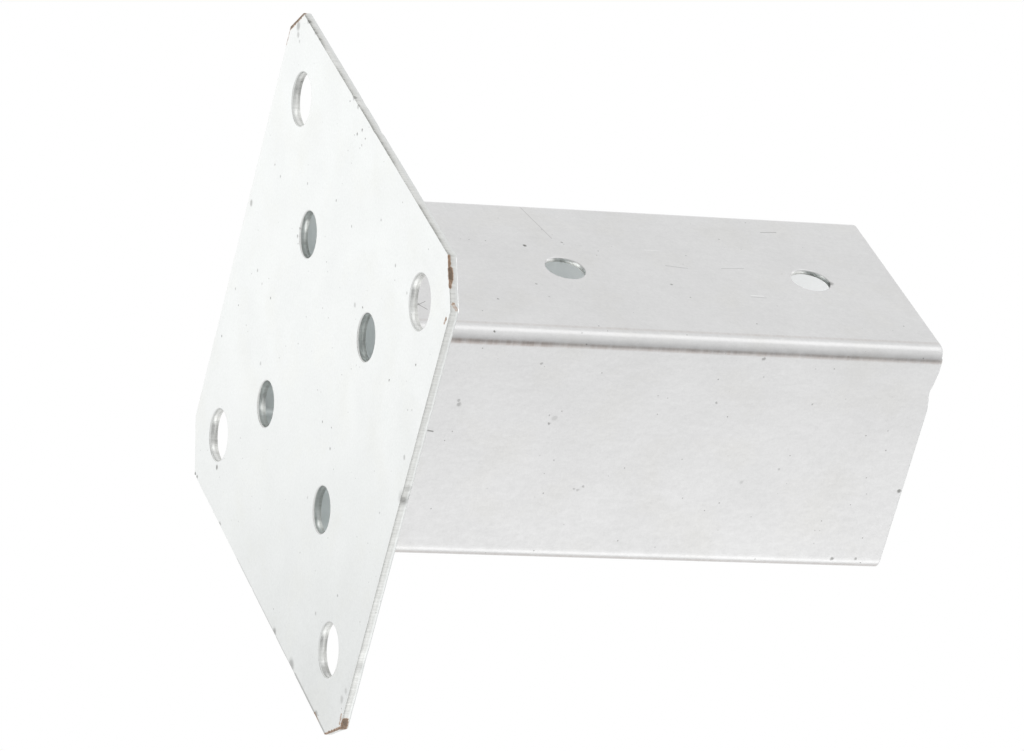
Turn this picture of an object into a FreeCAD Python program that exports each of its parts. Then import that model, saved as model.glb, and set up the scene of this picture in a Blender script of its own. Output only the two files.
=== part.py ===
"""Timber post base: a sheet-steel sleeve for a 70 mm post, welded onto a bolt-down plate.

Millimetres. The origin is the centre of the plate's underside and +Z runs up the sleeve.
Every size is a cell of the spreadsheet, and every sketch, pad and pocket is bound to those cells.
"""
import os

import FreeCAD
import Part
import Sketcher
from FreeCAD import Placement, Rotation, Vector

# name, value in mm, what it is
SIZES = [
    ("plate_side", 150.0, "side of the square base plate"),
    ("plate_thickness", 2.5, "thickness of the base plate"),
    ("cut_front_left_x", 10.0, "corner cut at -X -Y, along X"),
    ("cut_front_left_y", 9.0, "corner cut at -X -Y, along Y"),
    ("cut_front_right_x", 7.0, "corner cut at +X -Y, along X"),
    ("cut_front_right_y", 8.0, "corner cut at +X -Y, along Y"),
    ("cut_back_right_x", 5.0, "corner cut at +X +Y, along X"),
    ("cut_back_right_y", 9.5, "corner cut at +X +Y, along Y"),
    ("cut_back_left_x", 11.0, "corner cut at -X +Y, along X"),
    ("cut_back_left_y", 14.0, "corner cut at -X +Y, along Y"),
    ("plate_roll", 0.35, "rolled-over edge of the sheared plate, on the underside"),
    ("anchor_spacing", 110.0, "centre to centre of the outer holes, both ways"),
    ("anchor_diameter", 15.0, "outer hole"),
    ("drain_spacing", 55.0, "centre to centre of the inner holes, both ways"),
    ("drain_diameter", 13.0, "inner hole"),
    ("punch_roll", 0.3, "rolled-over rim where the punch entered"),
    ("plate_breakout_depth", 0.9, "depth of the torn, wider end of a hole in the plate"),
    ("sleeve_width", 73.0, "outside width of the square sleeve"),
    ("sleeve_length", 165.5, "length of the sleeve above the plate"),
    ("sheet_thickness", 1.5, "thickness of the sleeve's sheet"),
    ("bend_radius", 3.8, "outside radius of the four bends"),
    ("seam_gap", 0.4, "gap between the two edges of the folded sheet"),
    ("screw_diameter", 11.5, "screw holes in the sleeve"),
    ("screw_height", 65.5, "lower screw hole above the plate's underside"),
    ("screw_spacing", 75.0, "between the two screw holes of a wall"),
    ("sleeve_breakout_depth", 0.5, "depth of the torn, wider end of a hole in the sleeve"),
    ("breakout_growth", 0.18, "how much wider a hole is where it tore, on the radius"),
    ("nick_width", 19.0, "width of the hollow in the sleeve's sheared end"),
    ("nick_depth", 1.3, "depth of that hollow"),
    ("nick_centre", 22.5, "distance of that hollow from the middle of its wall"),
    ("bead_length", 36.0, "length of a weld bead between sleeve and plate"),
    ("bead_leg", 3.2, "leg of a weld bead"),
    ("bead_swell", 0.3, "how much a dab of weld swells between its ends"),
    ("tack_length", 12.0, "length of a tack weld on the seam"),
    ("tack_width", 4.4, "width of a tack weld on the seam"),
    ("tack_height", 1.0, "height of a tack weld above the sheet"),
    ("tack_end_distance", 14.0, "centre of the end tack from the sleeve's open end"),
]
BEAD_DABS = 6
# a rounded end from its tip to its full height: shares of its length and of its height
ROUNDED_END = [(0.0, 0.0), (0.1, 0.44), (0.4, 0.8), (1.0, 1.0)]
# counter-clockwise from above: name, side along X, side along Y
CORNERS = [("front_left", -1, -1), ("front_right", 1, -1), ("back_right", 1, 1), ("back_left", -1, 1)]
# the wall that each bead runs along, and its turn about Z from the -Y wall
WALLS = [("front", 0), ("right", 90), ("back", 180), ("left", 270)]

doc = FreeCAD.newDocument("timber_post_base")
sheet = doc.addObject("Spreadsheet::Sheet", "Sizes")
for row, (alias, value, meaning) in enumerate(SIZES, start=1):
    sheet.set(f"A{row}", alias)
    sheet.set(f"B{row}", str(value))
    sheet.set(f"C{row}", meaning)
    sheet.setAlias(f"B{row}", alias)
doc.recompute()


def cell(name):
    """The expression that reads one size."""
    return f"Sizes.{name}"


def size(name):
    """The value of one size, for a first guess that the constraints then bind."""
    return float(sheet.get(name))


def new_body(label):
    body = doc.addObject("PartDesign::Body", label)
    body.Label = label
    return body


def new_sketch(body, name, role, lift=None):
    """A sketch on one of the body's own origin planes, raised by the expression lift."""
    plane = next(f for f in body.Origin.OriginFeatures if f.Role == role)
    sketch = body.newObject("Sketcher::SketchObject", name)
    sketch.AttachmentSupport = [(plane, "")]
    sketch.MapMode = "FlatFace"
    if lift:
        sketch.setExpression("AttachmentOffset.Base.z", lift)
    doc.recompute()
    return sketch


def bind(sketch, constraint, expression):
    """Add one dimension to a sketch and tie it to the spreadsheet."""
    index = sketch.addConstraint(constraint)
    sketch.setExpression(f"Constraints[{index}]", expression)


def place_point(sketch, element, point, x, y, x_size, y_size):
    """Dimension a sketch point from the origin; the signs of x and y say which side it is on."""
    for kind, value, expression in (("DistanceX", x, x_size), ("DistanceY", y, y_size)):
        ends = (-1, 1, element, point) if value > 0 else (element, point, -1, 1)
        bind(sketch, Sketcher.Constraint(kind, *ends, abs(value)), expression)


def closed_outline(sketch, corners):
    """Straight lines round a list of (x, y) corners, joined end to end."""
    count = len(corners)
    for i in range(count):
        start, end = corners[i], corners[(i + 1) % count]
        sketch.addGeometry(Part.LineSegment(Vector(*start, 0), Vector(*end, 0)), False)
    for i in range(count):
        sketch.addConstraint(Sketcher.Constraint("Coincident", i, 2, (i + 1) % count, 1))


def centred_rectangle(sketch, width, width_size, depth, depth_size):
    """A rectangle about the sketch's origin."""
    half = (width / 2, depth / 2)
    corners = [(-half[0], -half[1]), (half[0], -half[1]), (half[0], half[1]), (-half[0], half[1])]
    closed_outline(sketch, corners)
    for line in (0, 2):
        sketch.addConstraint(Sketcher.Constraint("Horizontal", line))
    for line in (1, 3):
        sketch.addConstraint(Sketcher.Constraint("Vertical", line))
    sketch.addConstraint(Sketcher.Constraint("Symmetric", 0, 1, 1, 2, -1, 1))
    bind(sketch, Sketcher.Constraint("DistanceX", 0, 1, 0, 2, width), width_size)
    bind(sketch, Sketcher.Constraint("DistanceY", 1, 1, 1, 2, depth), depth_size)


def circle_at(sketch, x, y, x_size, y_size, diameter_name):
    """One round hole; a zero coordinate keeps its centre on the axis."""
    circle = sketch.addGeometry(Part.Circle(Vector(x, y, 0), Vector(0, 0, 1), size(diameter_name) / 2))
    if x:
        bind(sketch, Sketcher.Constraint("DistanceX", -1, 1, circle, 3, x), x_size)
    else:
        sketch.addConstraint(Sketcher.Constraint("PointOnObject", circle, 3, -2))
    bind(sketch, Sketcher.Constraint("DistanceY", -1, 1, circle, 3, y), y_size)
    bind(sketch, Sketcher.Constraint("Diameter", circle, size(diameter_name)), cell(diameter_name))


def pocket(body, name, sketch, length=None, **settings):
    """Cut a sketch out of a body, all through unless a length is given, and make sure that it cut."""
    before = body.Shape.Volume
    cut = body.newObject("PartDesign::Pocket", name)
    cut.Profile = sketch
    cut.Type = "Length" if length else "ThroughAll"
    if length:
        cut.setExpression("Length", length)
    for key, value in settings.items():
        setattr(cut, key, value)
    sketch.Visibility = False
    doc.recompute()
    if not body.Shape.Volume < before - 1e-3:
        raise RuntimeError(f"{name} cuts nothing")
    return cut


def edges_where(feature, test):
    """Names of a feature's edges that pass a test."""
    return [f"Edge{i}" for i, edge in enumerate(feature.Shape.Edges, start=1) if test(edge)]


def is_rim(edge, diameter_name):
    """True for a full circle of the given hole size."""
    curve = edge.Curve
    return isinstance(curve, Part.Circle) and edge.Closed and abs(2 * curve.Radius - size(diameter_name)) < 1e-6


def round_edges(body, name, test, radius_size):
    """Round the edges of the body's last feature that pass a test."""
    base = body.Tip
    fillet = body.newObject("PartDesign::Fillet", name)
    fillet.Base = (base, edges_where(base, test))
    fillet.setExpression("Radius", radius_size)
    doc.recompute()


def ease_rims(body, name, test, width_size):
    """The rolled-over rim on the side where the punch went in, as a small bevel."""
    base = body.Tip
    chamfer = body.newObject("PartDesign::Chamfer", name)
    chamfer.Base = (base, edges_where(base, test))
    chamfer.setExpression("Size", width_size)
    doc.recompute()


def tear_out(body, name, test, depth_name, flipped=False):
    """The wider, torn end of a punched hole: a long, narrow chamfer down its wall."""
    base = body.Tip
    chamfer = body.newObject("PartDesign::Chamfer", name)
    chamfer.Base = (base, edges_where(base, test))
    chamfer.ChamferType = "Two distances"
    chamfer.setExpression("Size", cell("breakout_growth"))
    chamfer.setExpression("Size2", cell(depth_name))
    chamfer.FlipDirection = flipped
    doc.recompute()


def four_round_holes(body, prefix, spacing_name, diameter_name):
    """One punched hole on the +X +Y diagonal, repeated in the four quarters of the plate."""
    half = size(spacing_name) / 2
    half_size = f"{cell(spacing_name)} / 2"
    sketch = new_sketch(body, f"{prefix}_sketch", "XY_Plane")
    circle_at(sketch, half, half, half_size, half_size, diameter_name)
    first = pocket(body, f"{prefix}_hole", sketch, Reversed=True)
    pattern = body.newObject("PartDesign::PolarPattern", f"{prefix}_pattern")
    pattern.Originals = [first]
    pattern.Axis = (next(f for f in body.Origin.OriginFeatures if f.Role == "Z_Axis"), [""])
    pattern.Angle = 360
    pattern.Occurrences = 4
    body.Tip = pattern
    doc.recompute()


def base_plate():
    """The sheared plate: cut corners, four anchor holes, four smaller holes inside the sleeve."""
    body = new_body("base_plate")
    outline = new_sketch(body, "plate_outline", "XY_Plane")
    half = size("plate_side") / 2
    half_size = f"{cell('plate_side')} / 2"
    points = []
    for corner, side_x, side_y in CORNERS:
        cut_x, cut_y = f"cut_{corner}_x", f"cut_{corner}_y"
        on_x = (side_x * (half - size(cut_x)), side_y * half, f"{half_size} - {cell(cut_x)}", half_size)
        on_y = (side_x * half, side_y * (half - size(cut_y)), half_size, f"{half_size} - {cell(cut_y)}")
        points += [on_y, on_x] if side_x == side_y else [on_x, on_y]
    closed_outline(outline, [(x, y) for x, y, _, _ in points])
    for line, (x, y, x_size, y_size) in enumerate(points):
        place_point(outline, line, 1, x, y, x_size, y_size)
    pad = body.newObject("PartDesign::Pad", "plate_pad")
    pad.Profile = outline
    pad.setExpression("Length", cell("plate_thickness"))
    outline.Visibility = False
    doc.recompute()

    top = size("plate_thickness")

    def outer_edge_below(edge):
        return max(v.Z for v in edge.Vertexes) < 1e-6 and not edge.Closed

    def rim_at(height):
        return lambda edge: (abs(edge.BoundBox.Center.z - height) < 1e-6
                             and (is_rim(edge, "anchor_diameter") or is_rim(edge, "drain_diameter")))

    round_edges(body, "sheared_edge_roll", outer_edge_below, cell("plate_roll"))
    four_round_holes(body, "anchor", "anchor_spacing", "anchor_diameter")
    four_round_holes(body, "drain", "drain_spacing", "drain_diameter")
    ease_rims(body, "hole_entry_roll", rim_at(0.0), cell("punch_roll"))
    tear_out(body, "hole_breakout", rim_at(top), "plate_breakout_depth", flipped=True)
    return body


def sleeve():
    """The folded sheet: four bends, a butt seam down the -X wall, two screw holes in each Y wall."""
    body = new_body("sleeve")
    wide = size("sleeve_width")
    inner = wide - 2 * size("sheet_thickness")
    inner_size = f"{cell('sleeve_width')} - 2 * {cell('sheet_thickness')}"

    outline = new_sketch(body, "sleeve_outline", "XY_Plane", lift=cell("plate_thickness"))
    centred_rectangle(outline, wide, cell("sleeve_width"), wide, cell("sleeve_width"))
    pad = body.newObject("PartDesign::Pad", "sleeve_pad")
    pad.Profile = outline
    pad.setExpression("Length", cell("sleeve_length"))
    outline.Visibility = False
    doc.recompute()

    def upright(edge):
        return abs(edge.BoundBox.ZLength - size("sleeve_length")) < 1e-6

    round_edges(body, "outer_bends", upright, cell("bend_radius"))

    bore = new_sketch(body, "bore_outline", "XY_Plane", lift=cell("plate_thickness"))
    centred_rectangle(bore, inner, inner_size, inner, inner_size)
    pocket(body, "bore", bore, Reversed=True)

    def inner_corner(edge):
        centre = edge.BoundBox.Center
        return upright(edge) and abs(abs(centre.x) - inner / 2) < 1e-6 and abs(abs(centre.y) - inner / 2) < 1e-6

    round_edges(body, "inner_bends", inner_corner, f"{cell('bend_radius')} - {cell('sheet_thickness')}")

    seam = new_sketch(body, "seam_outline", "YZ_Plane")
    gap = size("seam_gap")
    reach = 2 * (size("plate_thickness") + size("sleeve_length"))
    reach_size = f"2 * ({cell('plate_thickness')} + {cell('sleeve_length')})"
    centred_rectangle(seam, gap, cell("seam_gap"), reach, reach_size)
    pocket(body, "seam", seam, length=cell("sleeve_width"))
    if body.Shape.isInside(Vector(-(wide + inner) / 4, 0, size("screw_height")), 1e-6, True):
        raise RuntimeError("the seam is not in the -X wall")

    screws = new_sketch(body, "screw_sketch", "XZ_Plane")
    upper_size = f"{cell('screw_height')} + {cell('screw_spacing')}"
    lower, upper = size("screw_height"), size("screw_height") + size("screw_spacing")
    circle_at(screws, 0, lower, None, cell("screw_height"), "screw_diameter")
    circle_at(screws, 0, upper, None, upper_size, "screw_diameter")
    pocket(body, "screw_holes", screws, Midplane=True)

    nick = new_sketch(body, "nick_sketch", "YZ_Plane", lift=f"{cell('sleeve_width')} / 4")
    add_nick_outline(nick)
    pocket(body, "end_nick", nick, length=cell("sleeve_width"), Reversed=True)

    def rim_on_wall(distance):
        return lambda edge: (is_rim(edge, "screw_diameter")
                             and abs(abs(edge.BoundBox.Center.y) - distance) < 1e-6)

    ease_rims(body, "screw_entry_roll", rim_on_wall(wide / 2), cell("punch_roll"))
    tear_out(body, "screw_breakout", rim_on_wall(inner / 2), "sleeve_breakout_depth")
    return body


def add_nick_outline(sketch):
    """A shallow arc hanging from a line above the sleeve's end, in the sketch of the +X wall."""
    half = size("nick_width") / 2
    middle = -size("nick_centre")
    end = size("plate_thickness") + size("sleeve_length")
    end_size = f"{cell('plate_thickness')} + {cell('sleeve_length')}"
    depth = size("nick_depth")
    arc = Part.Arc(Vector(middle - half, end, 0), Vector(middle, end - depth, 0), Vector(middle + half, end, 0))
    sketch.addGeometry(Part.LineSegment(Vector(middle + half, end, 0), Vector(middle - half, end, 0)))
    sketch.addGeometry(arc)
    arc_start, arc_end = sketch.getPoint(1, 1), sketch.getPoint(1, 2)
    left_is_start = arc_start.x < arc_end.x
    sketch.addConstraint(Sketcher.Constraint("Coincident", 0, 2, 1, 1 if left_is_start else 2))
    sketch.addConstraint(Sketcher.Constraint("Coincident", 0, 1, 1, 2 if left_is_start else 1))
    sketch.addConstraint(Sketcher.Constraint("Horizontal", 0))
    bind(sketch, Sketcher.Constraint("DistanceY", -1, 1, 0, 1, end), end_size)
    bind(sketch, Sketcher.Constraint("DistanceX", 0, 2, 0, 1, 2 * half), cell("nick_width"))
    right_size = f"{cell('nick_centre')} - {cell('nick_width')} / 2"
    bind(sketch, Sketcher.Constraint("DistanceX", 0, 1, -1, 1, -(middle + half)), right_size)
    radius_size = (f"({cell('nick_width')} * {cell('nick_width')} / 4"
                   f" + {cell('nick_depth')} * {cell('nick_depth')}) / (2 * {cell('nick_depth')})")
    radius = (half * half + depth * depth) / (2 * depth)
    bind(sketch, Sketcher.Constraint("Radius", 1, radius), radius_size)


def solid_feature(label, shape, placement):
    """A piece whose form no sketch feature gives, placed in the part's own frame."""
    feature = doc.addObject("Part::Feature", label)
    feature.Label = label
    feature.Shape = shape
    feature.Placement = placement
    return feature


def turned(points, axis_height, angle):
    """A solid turned about a line along X at one height, from the (x, height) points of its outline."""
    corners = [Vector(x, 0, z) for x, z in points]
    outline = Part.makePolygon(corners + [corners[0]])
    return Part.Face(outline).revolve(Vector(0, 0, axis_height), Vector(1, 0, 0), angle)


def weld_bead(wall, turn):
    """A quarter-round bead in the corner between plate and sleeve, laid as a row of swelling dabs."""
    leg, swell = size("bead_leg"), size("bead_swell")
    end = size("bead_length") / 2
    waist = leg - swell
    dab = 2 * (end - leg) / BEAD_DABS
    rising = [(-end + leg * along, waist * up) for along, up in ROUNDED_END]
    falling = [(-x, z) for x, z in reversed(rising)]
    profile = list(rising)
    for i in range(BEAD_DABS):
        profile.append((-end + leg + (i + 0.5) * dab, leg))
        profile.append((-end + leg + (i + 1) * dab, waist))
    bead = turned(profile[:-1] + falling, 0, 90)
    corner = Vector(0, -size("sleeve_width") / 2, size("plate_thickness"))
    spin = Rotation(Vector(0, 0, 1), turn)
    return solid_feature(f"weld_bead_{wall}", bead, Placement(spin.multVec(corner), spin))


def seam_tack(name, height):
    """A short weld over the seam: the part of a long spindle that stands out of the sheet."""
    length, width, rise = size("tack_length"), size("tack_width"), size("tack_height")
    axis = -(width * width / 4 - rise * rise) / (2 * rise)
    rising = [(-length / 2 + length / 2 * along, rise * up) for along, up in ROUNDED_END]
    falling = [(-x, z) for x, z in reversed(rising[:-1])]
    spindle = turned(rising + falling + [(length / 2, axis), (-length / 2, axis)], axis, 360)
    mound = spindle.common(Part.makeBox(length, 2 * width, 2 * rise, Vector(-length / 2, -width, 0)))
    stand = Rotation(Vector(0, 1, 0), -90)
    return solid_feature(name, mound, Placement(Vector(-size("sleeve_width") / 2, 0, height), stand))


def check(pieces):
    """Stop if any object failed to recompute or any piece isn't one valid solid."""
    for item in doc.Objects:
        if "Invalid" in item.State or "Error" in item.State:
            raise RuntimeError(f"{item.Label}: {item.State}")
    for piece in pieces:
        if not piece.Shape.isValid() or len(piece.Shape.Solids) != 1:
            raise RuntimeError(f"{piece.Label} is not one valid solid")


pieces = [base_plate(), sleeve()]
pieces += [weld_bead(wall, turn) for wall, turn in WALLS]
sleeve_end = size("plate_thickness") + size("sleeve_length")
pieces.append(seam_tack("seam_tack_middle", sleeve_end / 2))
pieces.append(seam_tack("seam_tack_end", sleeve_end - size("tack_end_distance")))
doc.recompute()
check(pieces)

os.makedirs("parts", exist_ok=True)
for piece in pieces:
    piece.Shape.exportStep(f"parts/{piece.Label}.step")
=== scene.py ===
import math

import bmesh
import bpy
from mathutils import Matrix, Quaternion, Vector, noise


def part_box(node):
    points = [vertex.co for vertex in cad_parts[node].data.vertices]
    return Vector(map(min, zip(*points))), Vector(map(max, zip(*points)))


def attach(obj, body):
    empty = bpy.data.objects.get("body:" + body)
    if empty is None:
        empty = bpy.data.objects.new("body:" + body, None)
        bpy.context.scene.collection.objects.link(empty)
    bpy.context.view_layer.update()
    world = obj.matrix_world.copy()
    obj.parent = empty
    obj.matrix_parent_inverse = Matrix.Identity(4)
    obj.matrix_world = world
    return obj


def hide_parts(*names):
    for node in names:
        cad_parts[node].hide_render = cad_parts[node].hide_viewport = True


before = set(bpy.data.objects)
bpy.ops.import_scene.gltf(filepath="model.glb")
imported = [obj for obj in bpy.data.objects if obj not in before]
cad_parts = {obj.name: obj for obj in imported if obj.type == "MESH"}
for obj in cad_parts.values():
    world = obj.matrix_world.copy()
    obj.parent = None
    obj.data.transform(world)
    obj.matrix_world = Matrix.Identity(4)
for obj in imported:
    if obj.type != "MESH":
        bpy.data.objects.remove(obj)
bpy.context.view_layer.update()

# ---------------------------------------------------------------- base plate
# A 150 mm square sheared from 2.5 mm steel sheet, its four corners clipped by hand
# and eight holes punched up through it from below. It was zinc plated with the
# sleeve already welded on, and the clipped corners have since begun to rust.

MM = 0.001
PLATE_LOW, PLATE_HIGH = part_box("base_plate")
PLATE_HALF = PLATE_HIGH[0]
PLATE_THICKNESS = PLATE_HIGH[2] - PLATE_LOW[2]
CORNER_CUTS = (((-1, -1), 6.7 * MM, 7.8 * MM), ((1, -1), 10.3 * MM, 11.0 * MM),
               ((1, 1), 8.5 * MM, 7.8 * MM), ((-1, 1), 9.8 * MM, 14.0 * MM))
ANCHOR_HALF_SPACING = 55.0 * MM
ANCHOR_RADIUS = 7.5 * MM
DRAIN_HALF_SPACING = 27.5 * MM
DRAIN_RADIUS = 6.5 * MM
SHEAR_STEP = 0.9 * MM
# Bites out of the sheared edge where the blade slipped, in millimetres:
# the middle of each, half its length, and its depth.
PLATE_NICKS = (((75.0, -6.6), 1.8, 0.2), ((-16.5, -75.0), 2.0, 0.15), ((-1.6, -75.0), 2.2, 0.3),
               ((17.0, 75.0), 3.0, 0.3), ((-38.5, 75.0), 1.4, 0.35), ((-5.5, 75.0), 1.2, 0.4),
               ((34.0, 75.0), 5.0, 0.3), ((-64.0, 75.0), 1.2, 0.6), ((59.0, 75.0), 3.0, 0.25),
               ((-75.0, -12.0), 1.5, 0.25), ((74.0, 45.0), 3.0, 0.2))


def ring_of(bm, corners, step):
    """A closed outline through these corners, its straight runs divided about every step."""
    corners = [Vector((x, y, 0.0)) for x, y in corners]
    verts = []
    for a, b in zip(corners, corners[1:] + corners[:1]):
        pieces = max(1, round((b - a).length / step))
        verts += [bm.verts.new(a.lerp(b, i / pieces)) for i in range(pieces)]
    for a, b in zip(verts, verts[1:] + verts[:1]):
        bm.edges.new((a, b))


def punch(bm, x, y, radius, segments):
    """The flat outline of a round hole."""
    bmesh.ops.create_circle(bm, cap_ends=False, radius=radius, segments=segments,
                            matrix=Matrix.Translation((x, y, 0.0)))


# How long the unevenness of a cut edge is, from the blade's chatter to its slow drift.
CHATTER_LENGTH = 0.9 * MM
WAVE_LENGTH = 3 * MM
DRIFT_LENGTH = 9 * MM
# A face whose normal rises less than this is part of a cut edge.
WALL_RISE = 0.5


def is_wall(face):
    return abs(face.normal.z) < WALL_RISE


def sheared_blank(bm, thickness, rows_at, seed):
    """Turn the flat rings into a sheet whose every cut edge is rolled over, sheared bright, then torn.

    rows_at(x, y) gives the rows up the sheet for the cut edge at that place, and how strongly the
    tear in its lower half is darkened there. A row is its depth and how far it stands back from the true
    edge, both in millimetres, how unevenly, how bare and how torn it is.
    """
    bmesh.ops.triangle_fill(bm, use_beauty=True, use_dissolve=False, edges=bm.edges[:])
    made = bmesh.ops.extrude_face_region(bm, geom=bm.faces[:])["geom"]
    far = [g for g in made if isinstance(g, bmesh.types.BMVert)]
    bmesh.ops.translate(bm, vec=(0, 0, thickness), verts=far)
    across = [e for e in bm.edges if abs(e.verts[0].co.z - e.verts[1].co.z) > thickness / 2]
    last = len(rows_at(0.0, 0.0)[0]) - 1
    bmesh.ops.subdivide_edges(bm, edges=across, cuts=last - 1, use_grid_fill=True)
    bmesh.ops.recalc_face_normals(bm, faces=bm.faces[:])
    wall = bm.faces.layers.float.new("wall")
    bare = bm.verts.layers.float.new("bare")
    torn = bm.verts.layers.float.new("torn")
    for face in bm.faces:
        face[wall] = float(is_wall(face))
    moves = []
    for v in bm.verts:
        walls = [face.normal for face in v.link_faces if is_wall(face)]
        outward = sum(walls, Vector()).normalized()
        rows, foot_dark = rows_at(v.co.x, v.co.y)
        depth, back, unevenness, v[bare], tear = rows[round(v.co.z / thickness * last)]
        at = Vector((v.co.x, v.co.y, seed + depth * MM / thickness))
        chatter = noise.noise(Vector((at.x / CHATTER_LENGTH, at.y / CHATTER_LENGTH, at.z * 2)))
        drift = noise.noise(Vector((at.x / DRIFT_LENGTH, at.y / DRIFT_LENGTH, seed)))
        wave = noise.noise(Vector((at.x / WAVE_LENGTH, at.y / WAVE_LENGTH, seed + 9)))
        step = -(back + unevenness * abs(chatter + 0.5 * drift)) * MM
        height = depth * MM
        height += 0.35 * wave * min(height, thickness - height)
        # The lower half of each cut edge is darkened in patches, as strongly as rows_at gives.
        patchy_foot_dark = foot_dark * min(1.0, max(0.1, 0.8 + 1.6 * drift))
        v[torn] = tear * (patchy_foot_dark if height < thickness / 2 else 1.0)
        moves.append((v, outward * step, height))
    for v, shift, height in moves:
        v.co += shift
        v.co.z = height


# The outline was cropped from above, so it is rolled over on top and darkened at its foot. The holes
# were punched from below, so they are rolled over there and torn at the top. Each row holds
# depth and setback in millimetres, unevenness, bareness and tear.
OUTLINE_ROWS = ((0.0, 0.10, 0.08, 1.0, 0.7), (0.12, 0.04, 0.06, 1.0, 0.9), (0.28, 0.02, 0.05, 1.0, 0.9),
                (0.55, 0.0, 0.03, 1.0, 0.6), (0.9, 0.0, 0.02, 1.0, 0.3), (1.4, 0.0, 0.02, 0.8, 0.1),
                (1.75, 0.0, 0.02, 0.4, 0.0), (2.15, 0.05, 0.02, 0.0, 0.0), (2.4, 0.17, 0.02, 0.0, 0.0),
                (2.5, 0.34, 0.02, 0.0, 0.0))
HOLE_ROWS = ((0.0, 0.34, 0.02, 0.3, 1.0), (0.04, 0.19, 0.02, 0.3, 0.7), (0.14, 0.06, 0.02, 0.3, 0.1),
             (0.35, 0.0, 0.02, 0.6, 0.0), (0.9, 0.0, 0.02, 0.8, 0.0), (1.5, 0.0, 0.03, 1.0, 0.05),
             (1.62, 0.05, 0.10, 1.0, 0.3), (2.0, 0.09, 0.14, 1.0, 0.3), (2.36, 0.14, 0.12, 1.0, 0.3),
             (2.5, 0.16, 0.08, 1.0, 0.2))


OUTLINE_MARGIN = 11.5 * MM
RIGHT_EDGE_MARGIN = 4 * MM
BETWEEN_HOLE_RINGS = 41 * MM
HEAVY_FOOT_DARK = 0.7
LIGHT_FOOT_DARK = 0.15
# The darkening at the foot is heaviest on this side of every hole.
HOLE_FOOT_DARK_SIDE = math.radians(112)


def plate_rows(x, y):
    """The darkening at the foot of a cut edge is light along the right edge, heavy along the others, and on
    one side of each hole.
    """
    reach = max(abs(x), abs(y))
    if reach > PLATE_HALF - OUTLINE_MARGIN:
        return OUTLINE_ROWS, LIGHT_FOOT_DARK if x > PLATE_HALF - RIGHT_EDGE_MARGIN else HEAVY_FOOT_DARK
    centre = ANCHOR_HALF_SPACING if reach > BETWEEN_HOLE_RINGS else DRAIN_HALF_SPACING
    towards = math.atan2(y - math.copysign(centre, y), x - math.copysign(centre, x))
    return HOLE_ROWS, max(0.0, 1.25 * math.cos(towards - HOLE_FOOT_DARK_SIDE) - 0.25)


def plate_corners():
    """The square's outline with its corners clipped, anticlockwise seen from above."""
    points = []
    for (sx, sy), along_x, along_y in CORNER_CUTS:
        on_x = (sx * (PLATE_HALF - along_x), sy * PLATE_HALF)
        on_y = (sx * PLATE_HALF, sy * (PLATE_HALF - along_y))
        points += [on_y, on_x] if sx * sy > 0 else [on_x, on_y]
    return points


def bite(bm, nicks):
    """Push the edge in at each nick, twice as far on top as underneath."""
    for (x, y), half_length, depth in nicks:
        centre = Vector((x, y)) * MM
        inward = Vector((-x, 0.0) if abs(x) > abs(y) else (0.0, -y)).normalized()
        for v in bm.verts:
            away = (v.co.xy - centre).length / (half_length * MM)
            if away < 1.0:
                v.co.xy += inward * depth * MM * (1 - away * away) * (0.5 + 0.5 * v.co.z / PLATE_THICKNESS)


# Edges that turn more sharply than this stay crisp.
CRISP_ANGLE = math.radians(40)


def finish_mesh(bm, name, flat_face):
    """Store the mesh as an object at the origin; faces for which flat_face is true stay flat shaded."""
    bmesh.ops.recalc_face_normals(bm, faces=bm.faces[:])
    for face in bm.faces:
        face.smooth = not flat_face(face)
    for edge in bm.edges:
        edge.smooth = len(edge.link_faces) != 2 or edge.calc_face_angle(0.0) < CRISP_ANGLE
    mesh = bpy.data.meshes.new(name)
    bm.to_mesh(mesh)
    bm.free()
    obj = bpy.data.objects.new(name, mesh)
    bpy.context.collection.objects.link(obj)
    return obj


def base_plate():
    """The clipped square with its four anchor holes and four drain holes."""
    bm = bmesh.new()
    ring_of(bm, plate_corners(), SHEAR_STEP)
    for sx in (-1, 1):
        for sy in (-1, 1):
            punch(bm, sx * ANCHOR_HALF_SPACING, sy * ANCHOR_HALF_SPACING, ANCHOR_RADIUS, 72)
            punch(bm, sx * DRAIN_HALF_SPACING, sy * DRAIN_HALF_SPACING, DRAIN_RADIUS, 64)
    sheared_blank(bm, PLATE_THICKNESS, plate_rows, 3.0)
    bite(bm, PLATE_NICKS)
    return finish_mesh(bm, "zinc_base_plate", lambda face: abs(face.normal.z) > 0.9995)


def srgb(hex_code):
    """An sRGB colour such as "#d8dadb" as linear red, green, blue and alpha."""
    parts = [int(hex_code[i:i + 2], 16) / 255 for i in (1, 3, 5)]
    return [c / 12.92 if c <= 0.04045 else ((c + 0.055) / 1.055) ** 2.4 for c in parts] + [1.0]


def add_node(tree, kind, settings=None, **inputs):
    """Add a node; inputs are values or sockets, with _ for a space in a socket's name."""
    node = tree.nodes.new(kind)
    for name, value in (settings or {}).items():
        setattr(node, name, value)
    for name, value in inputs.items():
        key = int(name[1:]) if name[0] == "i" and name[1:].isdigit() else name.replace("_", " ")
        socket = node.inputs[key]
        if isinstance(value, bpy.types.NodeSocket):
            tree.links.new(value, socket)
        else:
            socket.default_value = value
    return node


def new_material(name):
    """An empty material and its node tree."""
    material = bpy.data.materials.new(name)
    material.use_nodes = True
    material.node_tree.nodes.clear()
    return material, material.node_tree


def either(tree, masks):
    """One mask that is as strong as the strongest of these at each place."""
    result = masks[0]
    for mask in masks[1:]:
        result = add_node(tree, "ShaderNodeMath", {"operation": "MAXIMUM"}, i0=result, i1=mask).outputs[0]
    return result


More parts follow.
